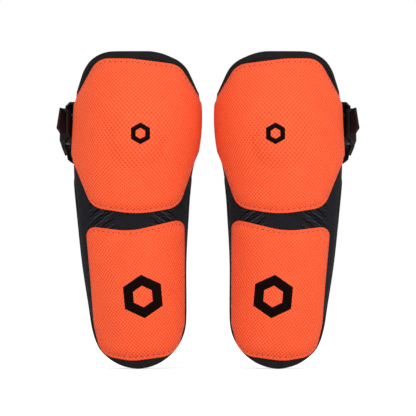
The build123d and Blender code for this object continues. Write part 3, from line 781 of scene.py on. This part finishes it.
def panel_flat_points(edge):
    """Points on the unrolled form: the edge, rings that follow it, and an even grid inside them."""
    loop, normal = inward_normals(edge)
    flat = [loop]
    for inset in (0.25, 0.55, 1.1, 2.0, 2.8, 3.2, 3.6, 4.1, 4.8, 5.6, 6.5, 7.5, 8.7, 10.1, 11.7):
        ring = loop + normal * inset
        flat.append(ring[(segment_distance(ring, edge) > inset - 0.08) & inside(ring, edge)])
    low, high = loop.min(0), loop.max(0)
    step = 2.2
    xs, zs = np.arange(low[0], high[0], step), np.arange(low[1], high[1], step * 0.87)
    gx, gz = np.meshgrid(xs, zs)
    gx = gx + (np.arange(len(zs)) % 2)[:, None] * step / 2
    grid = np.stack([gx.ravel(), gz.ravel()], -1)
    grid = grid[inside(grid, edge)]
    flat.append(grid[segment_distance(grid, edge) > 13.2])
    return np.concatenate(flat), len(loop)


def panel_triangles(edge):
    """A panel's outline filled with triangles on the unrolled form."""
    flat, count = panel_flat_points(edge)
    found = delaunay_2d_cdt([Vector(p) for p in flat], [], [list(range(count))], 1, 1e-5)
    flat = np.array([tuple(p) for p in found[0]])
    triangles = np.array(found[2])
    a, b, c = (flat[triangles[:, k]] for k in range(3))
    area = (b[:, 0] - a[:, 0]) * (c[:, 1] - a[:, 1]) - (b[:, 1] - a[:, 1]) * (c[:, 0] - a[:, 0])
    triangles[area < 0] = triangles[area < 0][:, ::-1]
    return flat, triangles[np.abs(area) > 1e-7]


def two_layers(top, bottom, triangles):
    """Closed mesh of two layers of the same triangles, joined round their open edges."""
    total = len(top)
    faces = triangles.tolist() + (triangles[:, ::-1] + total).tolist()
    pairs = {(t[i], t[(i + 1) % 3]) for t in triangles.tolist() for i in range(3)}
    faces += [[j, i, i + total, j + total] for i, j in sorted(pairs) if (j, i) not in pairs]
    return np.concatenate([top, bottom]), faces


def build_panel(name, edge, bump):
    """Moulded fabric face of a panel, and the hard plate under its raised part."""
    flat, triangles = panel_triangles(edge)
    d = segment_distance(flat, edge)
    points, faces = two_layers(panel_point(flat, d, bump), panel_point(flat, d, bump, FACE_THICK), triangles)
    weave = pattern_place(flat, bump)
    face = make(f"{name}_face", points, faces, [ORANGE], np.concatenate([weave, weave]))
    stand_for(face, "panel", f"{name}_panel")
    ride_all(face, name)

    triangles = triangles[(d[triangles] > PLATE_INSET).all(1)]
    used, order = np.unique(triangles, return_inverse=True)
    flat, d = flat[used], d[used]
    under = around(flat[:, 1], flat[:, 0] / girth(flat[:, 1]), 0.15)
    top = panel_point(flat, d, bump, FACE_THICK + 0.2)
    plate = make(f"{name}_plate", *two_layers(top, under, order.reshape(-1, 3)), [SHELL_PLASTIC])
    stand_for(plate, "shell", f"{name}_shell")
    ride_all(plate, name)


def tube(points, radii, sides):
    """Mesh tube along points, with a radius at each and both ends closed."""
    tangent = unit(np.gradient(points, axis=0))
    guide = [1.0, 0.0, 0.0] if abs(tangent[0, 2]) > 0.8 else [0.0, 0.0, 1.0]
    side = unit(np.cross(tangent, guide))
    up = np.cross(side, tangent)
    turn = np.linspace(0, 2 * math.pi, sides, endpoint=False)[:, None]
    section = np.cos(turn) * side[:, None] + np.sin(turn) * up[:, None]
    return (points[:, None] + radii[:, None, None] * section).reshape(-1, 3), tube_faces(len(points), sides)


def build_stitches(name, edge, bump):
    """Sewn line round a panel: thread between needle holes."""
    loop, normal = inward_normals(edge)
    line = loop + normal * STITCH_INSET
    line = line[segment_distance(line, edge) > STITCH_INSET - 0.1]
    spacing = 0.7
    line = resample(np.concatenate([line, line[:1]]), spacing)
    step = STITCH_PITCH / spacing
    points, faces, slots = [], [], []

    def on_panel(run):
        """Places of the sewn line's points, and the level directions out of the panel."""
        placed = panel_point(run, np.full(len(run), STITCH_INSET), bump)
        return placed, unit(np.stack([placed[:, 0] - shift_at(run[:, 1]), placed[:, 1], 0 * run[:, 1]], -1))

    def add(part, sides, slot):
        start = sum(map(len, points))
        points.append(part)
        faces.extend([i + start for i in f] for f in sides)
        slots.extend([slot] * len(sides))

    for k in range(int(len(line) / step)):
        start = int(k * step)
        run = line[start + 1:start + int(step)]
        if len(run) < 4:
            continue
        placed, away = on_panel(run)
        hump = np.sin(np.linspace(0, math.pi, len(run)))
        placed = placed + away * (0.25 * hump - 0.15)[:, None]
        add(*tube(placed, THREAD_RADIUS * np.clip(0.35 + hump, 0, 1), 6), 0)
        # a dark plug at each needle hole: painted shade inside the hole
        placed, away = on_panel(line[start:start + 1])
        add(*tube(placed + np.outer([-0.3, 0.08, 0.14], away), np.array([0.8, 0.8, 0.5]), 10), 1)
    made = make(f"{name}_stitches", np.concatenate(points), faces, [THREAD, HOLE_SHADE], slots=slots)
    ride_all(made, name)


def build_print(name, centre, outer, hole, turn, bump):
    """Plain six-sided ring printed on a panel."""
    first = turn + math.pi / 6
    corners = arc(np.zeros(2), 1.0, first, first + 2 * math.pi, 7)
    share = np.linspace(0, 1, 10, endpoint=False)[:, None]
    outline = np.concatenate([a + (b - a) * share for a, b in zip(corners, corners[1:])])
    xz = np.array(centre) + outline[:, None] * np.linspace(hole, outer, 8)[:, None]
    z = xz[..., 1]
    angle = np.arcsin((xz[..., 0] - shift_at(z)) / (half_at(z) + PANEL_HEIGHT))

    def layer(lift):
        points = around(z, angle, PANEL_HEIGHT + lift)
        return over_dome(points, lift) if bump else points

    flat = pattern_place(np.stack([angle * girth(z), z], -1).reshape(-1, 2), bump).reshape(xz.shape)
    weave = np.concatenate([flat, flat[:, ::-1]], 1).reshape(-1, 2)
    points = np.concatenate([layer(PRINT_LIFT), layer(0.0)[:, ::-1]], 1)
    faces = ring_faces(*points.shape[:2], closed=True)
    points = points.reshape(-1, 3)
    ride_all(make(f"{name}_print", points, outward_faces(points, faces), [PRINT], weave), name)


# ---- ribbons: elastic, webbing and their folded ends ----
TILT = math.radians(28.0)
STRAP_Z, CALF_Z = 270.0, 95.0
STRAP_THICK, STRAP_WIDTH = 1.9, 38
BAR, BAR_WRAP = np.array([-80.0, 30.0]), 2.62
CALF_IN, CALF_OUT, CALF_BACK, CALF_CORNER = 36, -37.1, 66, 33
CALF_THICK, CALF_WIDTH, FOLD_THICK = 1.8, 25, 1.5
PATCH_THICK, PATCH_WIDTH, PATCH_GAP = 0.8, 21.4, 0.3
PATCH_SHEET = 0.78            # the patch's own sheet, just clear of both plies
RING_BAR, RING_RADIUS = np.array([-39.6, 22.5]), 1.6


def strap_plane(u, v, w):
    """Right pad's place of a point in the knee strap's tilted plane."""
    c, s = math.cos(TILT), math.sin(TILT)
    return np.stack([u, v * c + w * s, STRAP_Z - v * s + w * c], -1)


def lying_in(u, v, w):
    """The strap's plane, with the strap close to the inner wing and its lower edge drawn in at both ends."""
    reach = smooth((u - 40) / 25) * smooth((46 - v) / 20)
    near_hook = smooth((-u - 60) / 10) * smooth((50 - v) / 14)
    w = np.where(w < 0, w * (1 - 0.32 * near_hook), w)
    return strap_plane(u - reach * (1.0 + 2.0 * smooth((8 - w) / 27)), v, w)


def calf_plane(u, v, w):
    return np.stack([u, v, CALF_Z + w], -1)


def ribbon(path, plane, thickness, width, edge, ripple=0.0):
    """Flat strap along a path in a plane, with rounded edges. Gives points, faces and cloth places."""
    tangent = unit(np.gradient(path, axis=0))
    along = run_lengths(path)
    h, w = thickness / 2, width / 2
    half = [(h, x) for x in np.linspace(-w + edge, w - edge, 9)]
    half = np.array(half + [(h * 0.75, w - edge * 0.25), (0, w), (-h * 0.75, w - edge * 0.25)])
    section = np.concatenate([half, -half])
    wave = ripple * np.cos(2 * math.pi * along / 2.4)
    off = section[:, 0] + np.sign(section[:, 0]) * wave[:, None]
    u, v = path[:, :1] - tangent[:, 1:] * off, path[:, 1:] + tangent[:, :1] * off
    side = np.broadcast_to(section[:, 1], u.shape).ravel()
    points = plane(u.ravel(), v.ravel(), side)
    faces = [f[:1] + f[:0:-1] for f in tube_faces(*u.shape)]
    return points, outward_faces(points, faces), np.stack([np.repeat(along, len(section)), side], -1)


def walk(start, heading, moves):
    """Path of straight runs (length, 0) and arcs (radius, degrees to the left), in steps of about 1 mm."""
    points, heading = [np.array(start, float)], math.radians(heading)
    for size, turn in moves:
        spot, ahead = points[-1], np.array([math.cos(heading), math.sin(heading)])
        if turn == 0:
            count = max(1, int(size))
            points += [spot + size * k / count * ahead for k in range(1, count + 1)]
            continue
        centre = spot + math.copysign(size, turn) * np.array([-ahead[1], ahead[0]])
        turn = math.radians(turn)
        first = math.atan2(*(spot - centre)[::-1])
        points += list(arc(centre, size, first, first + turn, max(2, int(abs(turn) * size)) + 1)[1:])
        heading += turn
    return np.array(points)


def knee_strap_path():
    """Elastic from the inner wing round the back to the hook's bar, round it and back on itself."""
    root, straight = (71.3, -4), 16
    side_radius, side_turn, back_radius, back_turn = 62, 50.0, 95, 72.0
    points = walk(root, 90, [(straight, 0), (side_radius, side_turn), (back_radius, back_turn)])
    heading = math.radians(90 + side_turn + back_turn)
    to_bar = BAR - points[-1]
    inward = to_bar @ np.array([-math.sin(heading), math.cos(heading)])
    radius = to_bar @ to_bar / (2 * inward)
    bearing = math.atan2(to_bar[1], to_bar[0]) % (2 * math.pi)
    loop = walk(points[-1], math.degrees(heading), [(radius, 2 * math.degrees(bearing - heading))])
    points = np.concatenate([points, loop[1:]])
    along = run_lengths(points)
    left = along[-1] - along
    tangent = unit(np.gradient(points, axis=0))
    ply = 1.02 * smooth((21 - left) / 5) + 1.6 * smooth((7 - left) / 6)
    apart = np.stack([-tangent[:, 1], tangent[:, 0]], -1) * ply[:, None]
    near, far = points + apart, points - apart
    last = math.atan2(*(near[-1] - BAR)[::-1])
    wrap = arc(BAR, BAR_WRAP, last, last - math.pi, 12)[1:-1]
    return np.concatenate([near[6:], wrap, far[left < 15][::-1]])


def build_elastic():
    path = knee_strap_path()
    points, faces, weave = ribbon(path, lying_in, STRAP_THICK, STRAP_WIDTH, edge=0.7, ripple=0.07)
    made = make("knee_elastic", points, faces, [ELASTIC], weave)
    stand_for(made, "elastic", "knee_strap", "strap_end")
    for side, obj in made.items():
        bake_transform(obj)


def build_calf():
    """Calf strap, its end folded back round the ring's bar, and the patch of small hooks between the two."""
    straight = CALF_BACK - CALF_CORNER
    strap = walk((CALF_IN, -14), 90, [
        (straight + 14, 0), (CALF_CORNER, 90), (CALF_IN - CALF_OUT - 2 * CALF_CORNER, 0), (CALF_CORNER, 90),
        (straight - RING_BAR[1], 0),
    ])
    centre = np.array([CALF_OUT + CALF_CORNER, straight])
    patch_radius = CALF_CORNER + CALF_THICK / 2 + PATCH_GAP
    fold_radius = patch_radius + PATCH_THICK + FOLD_THICK / 2
    near = RING_RADIUS + PATCH_GAP + FOLD_THICK / 2
    to_start = RING_BAR - [near, 0] - centre
    bearing = math.atan2(to_start[1], to_start[0]) % (2 * math.pi)
    touch = bearing - math.acos(fold_radius / np.linalg.norm(to_start))
    sweep = (touch, touch - math.radians(80), 60)
    fold = np.concatenate([arc(RING_BAR, near, 1.5 * math.pi, math.pi, 10), arc(centre, fold_radius, *sweep)])
    patch = arc(centre, patch_radius + PATCH_THICK / 2, *sweep)
    for name, path, thick, width, edge, material, slot, node, body in (
        ("calf_webbing", strap, CALF_THICK, CALF_WIDTH, 0.6, WEBBING, "elastic", "calf_strap", "shin"),
        ("calf_fold", fold, FOLD_THICK, CALF_WIDTH, 0.55, WEBBING, "elastic", "calf_flap", "flap"),
        ("grip_patch", patch, PATCH_SHEET, PATCH_WIDTH, 0.2, HOOK_TAPE, "hook_tape", "flap_hooks", "flap"),
    ):
        points, faces, weave = ribbon(path, calf_plane, thick, width, edge)
        made = make(name, points, faces, [material], weave)
        stand_for(made, slot, node)
        ride_all(made, body)


# ---- pieces taken from the CAD shape and softened ----
def soft_copy(node, name, material, slot, voxel, smooth_steps, swell=None, shift=0.0):
    """Softened copy of a CAD solid on each pad; where swell is given, filled by a short cloth simulation."""
    obj = bpy.data.objects.new(f"right_{name}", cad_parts[f"right_{node}"].data.copy())
    bpy.context.scene.collection.objects.link(obj)
    obj.data.materials.clear()
    bpy.context.view_layer.objects.active = obj
    remesh = obj.modifiers.new("remesh", "REMESH")
    remesh.mode = "VOXEL"
    remesh.voxel_size = voxel * MM
    relax = obj.modifiers.new("relax", "SMOOTH")
    relax.iterations = smooth_steps
    apply_modifiers(obj)
    if swell:
        inflate(obj, *swell)
    if swell:
        finer = obj.modifiers.new("finer", "SUBSURF")
        finer.levels = finer.render_levels = 1
        apply_modifiers(obj)
    points = np.array([v.co for v in obj.data.vertices]) / MM + [LEG_X + shift, 0, 0]
    faces = [list(p.vertices) for p in obj.data.polygons]
    bpy.data.objects.remove(obj)
    weave = np.stack([angle_of(points, -WALL) * girth(points[:, 2]), points[:, 2]], -1)
    made = make(name, points, faces, [material], weave)
    stand_for(made, slot, node)
    return made


def apply_modifiers(obj):
    """Turns an object's modifiers into its mesh."""
    dg = bpy.context.evaluated_depsgraph_get()
    mesh = bpy.data.meshes.new_from_object(obj.evaluated_get(dg))
    obj.modifiers.clear()
    obj.data = mesh


def inflate(obj, pressure, cap):
    """Fills a closed mesh with air for twenty frames, with no point moving more than cap millimetres."""
    scene = bpy.context.scene
    before = np.array([v.co for v in obj.data.vertices])
    cloth = obj.modifiers.new("fill", "CLOTH")
    cloth.settings.use_pressure = True
    cloth.settings.uniform_pressure_force = pressure
    cloth.settings.tension_stiffness = 12
    cloth.settings.compression_stiffness = 12
    cloth.settings.effector_weights.gravity = 0
    for number in range(1, 21):
        scene.frame_set(number)
    apply_modifiers(obj)
    scene.frame_set(1)
    move = np.array([v.co for v in obj.data.vertices]) - before
    share = np.minimum(1, cap * MM / np.maximum(np.linalg.norm(move, axis=1), 1e-9))
    obj.data.vertices.foreach_set("co", (before + move * share[:, None]).ravel())
    obj.data.update()


def build_cushions():
    for section in ("knee", "shin"):
        node, name = f"{section}_cushion", f"{section}_pad"
        made = soft_copy(node, name, CUSHION_CLOTH, "cushion", 1.6, 6, swell=(4.0, 2.5))
        ride_all(made, section)


def build_patches():
    for node, name, shift, body in (
        ("strap_root", "strap_patch", -1.5, "knee"),
        ("calf_root", "calf_patch", 0, "shin"),
        ("ring_tab", "ring_loop", 0, "shin"),
    ):
        made = soft_copy(node, name, WEBBING, "webbing", 0.6, 3, shift=shift)
        ride_all(made, body)


# ---- rigid pieces that keep their CAD shape ----
def dress(node, material, bevel):
    """Material and softly broken edges on a CAD piece of both pads."""
    for side in SIDES:
        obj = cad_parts[f"{side}_{node}"]
        obj.data.materials.clear()
        obj.data.materials.append(material)
        if bevel:
            worn = obj.modifiers.new("worn", "BEVEL")
            worn.width = bevel * MM
            worn.segments = 2
            worn.limit_method = "ANGLE"
            worn.angle_limit = math.radians(38)
            worn.use_clamp_overlap = True


build_body()
build_binding()
build_panel("knee", knee_edge, True)
build_panel("shin", shin_edge, False)
build_stitches("knee", knee_edge, True)
build_stitches("shin", shin_edge, False)
build_print("knee", (4.0, 258.0), 12.0, 6.0, 0.0, True)
build_print("shin", (6.4, 79.0), 24.0, 12.0, SHIN_SLANT, False)
build_elastic()
build_calf()
build_cushions()
build_patches()
dress("buckle_base", HARD_PLASTIC, 0.5)
dress("buckle_hook", HOOK_PLASTIC, 0.4)
dress("strap_slider", HARD_PLASTIC, 0.4)
dress("buckle_pin", STEEL, 0.3)
dress("base_rivets", STEEL, 0.3)
dress("calf_ring", STEEL, 0)


# ---- floor, light and camera ----
FLOOR_GLOW = 0.44             # lifts the floor to white for the camera alone
WORLD_LIGHT = 0.68


def build_floor():
    size, low = 6.0, cad_low.z - 0.0005
    corners = [(-size, -size, low), (size, -size, low), (size, size, low), (-size, size, low)]
    mesh = bpy.data.meshes.new("floor")
    mesh.from_pydata(corners, [], [(0, 1, 2, 3)])
    floor = bpy.data.objects.new("floor", mesh)
    bpy.context.scene.collection.objects.link(floor)
    material = bpy.data.materials.new("floor_paper")
    material.use_nodes = True
    nodes, links = material.node_tree.nodes, material.node_tree.links
    shader = nodes["Principled BSDF"]
    for name, value in (("Base Color", (0.9, 0.9, 0.9, 1)), ("Roughness", 0.9), ("Specular IOR Level", 0.0)):
        shader.inputs[name].default_value = value
    paths = nodes.new("ShaderNodeLightPath")
    glow = nodes.new("ShaderNodeMath")
    glow.operation = "MULTIPLY"
    glow.inputs[1].default_value = FLOOR_GLOW
    links.new(paths.outputs["Is Camera Ray"], glow.inputs[0])
    shader.inputs["Emission Color"].default_value = (1, 1, 1, 1)
    links.new(glow.outputs[0], shader.inputs["Emission Strength"])
    floor.data.materials.append(material)


def build_world():
    world = bpy.data.worlds.new("studio")
    bpy.context.scene.world = world
    world.use_nodes = True
    nodes, links = world.node_tree.nodes, world.node_tree.links
    back = nodes["Background"]
    back.inputs["Color"].default_value = (1, 1, 1, 1)
    paths = nodes.new("ShaderNodeLightPath")
    seen = nodes.new("ShaderNodeMath")
    seen.operation = "MAXIMUM"
    links.new(paths.outputs["Is Camera Ray"], seen.inputs[0])
    links.new(paths.outputs["Is Transmission Ray"], seen.inputs[1])
    level = nodes.new("ShaderNodeMapRange")
    level.inputs["To Min"].default_value = WORLD_LIGHT
    level.inputs["To Max"].default_value = 1.0
    links.new(seen.outputs[0], level.inputs["Value"])
    links.new(level.outputs[0], back.inputs["Strength"])


def area_light(name, spot, aim, size, power):
    data = bpy.data.lights.new(name, "AREA")
    data.shape = "RECTANGLE"
    data.size, data.size_y = size
    data.energy = power
    lamp = bpy.data.objects.new(name, data)
    lamp.location = spot
    lamp.rotation_mode = "QUATERNION"
    lamp.rotation_quaternion = (Vector(aim) - Vector(spot)).to_track_quat("-Z", "Y")
    bpy.context.scene.collection.objects.link(lamp)


def build_camera():
    distance, view_width, aim_z = 8.0, 0.4605, 0.1762
    data = bpy.data.cameras.new("camera")
    data.sensor_width = 36.0
    data.lens = 36.0 * distance / view_width
    camera = bpy.data.objects.new("camera", data)
    camera.location = (0, -distance, aim_z)
    camera.rotation_euler = (math.pi / 2, 0, 0)
    bpy.context.scene.collection.objects.link(camera)
    bpy.context.scene.camera = camera


build_floor()
build_world()
area_light("key", (-0.45, -1.9, 1.6), (0, 0, 0.2), (1.8, 1.4), 23)
area_light("fill", (1.3, -1.3, 0.6), (0, 0, 0.2), (1.2, 1.2), 9)
area_light("rim", (0.2, 1.7, 1.7), (0, 0, 0.2), (1.6, 0.8), 9)
build_camera()
bpy.context.scene.view_settings.view_transform = "Standard"
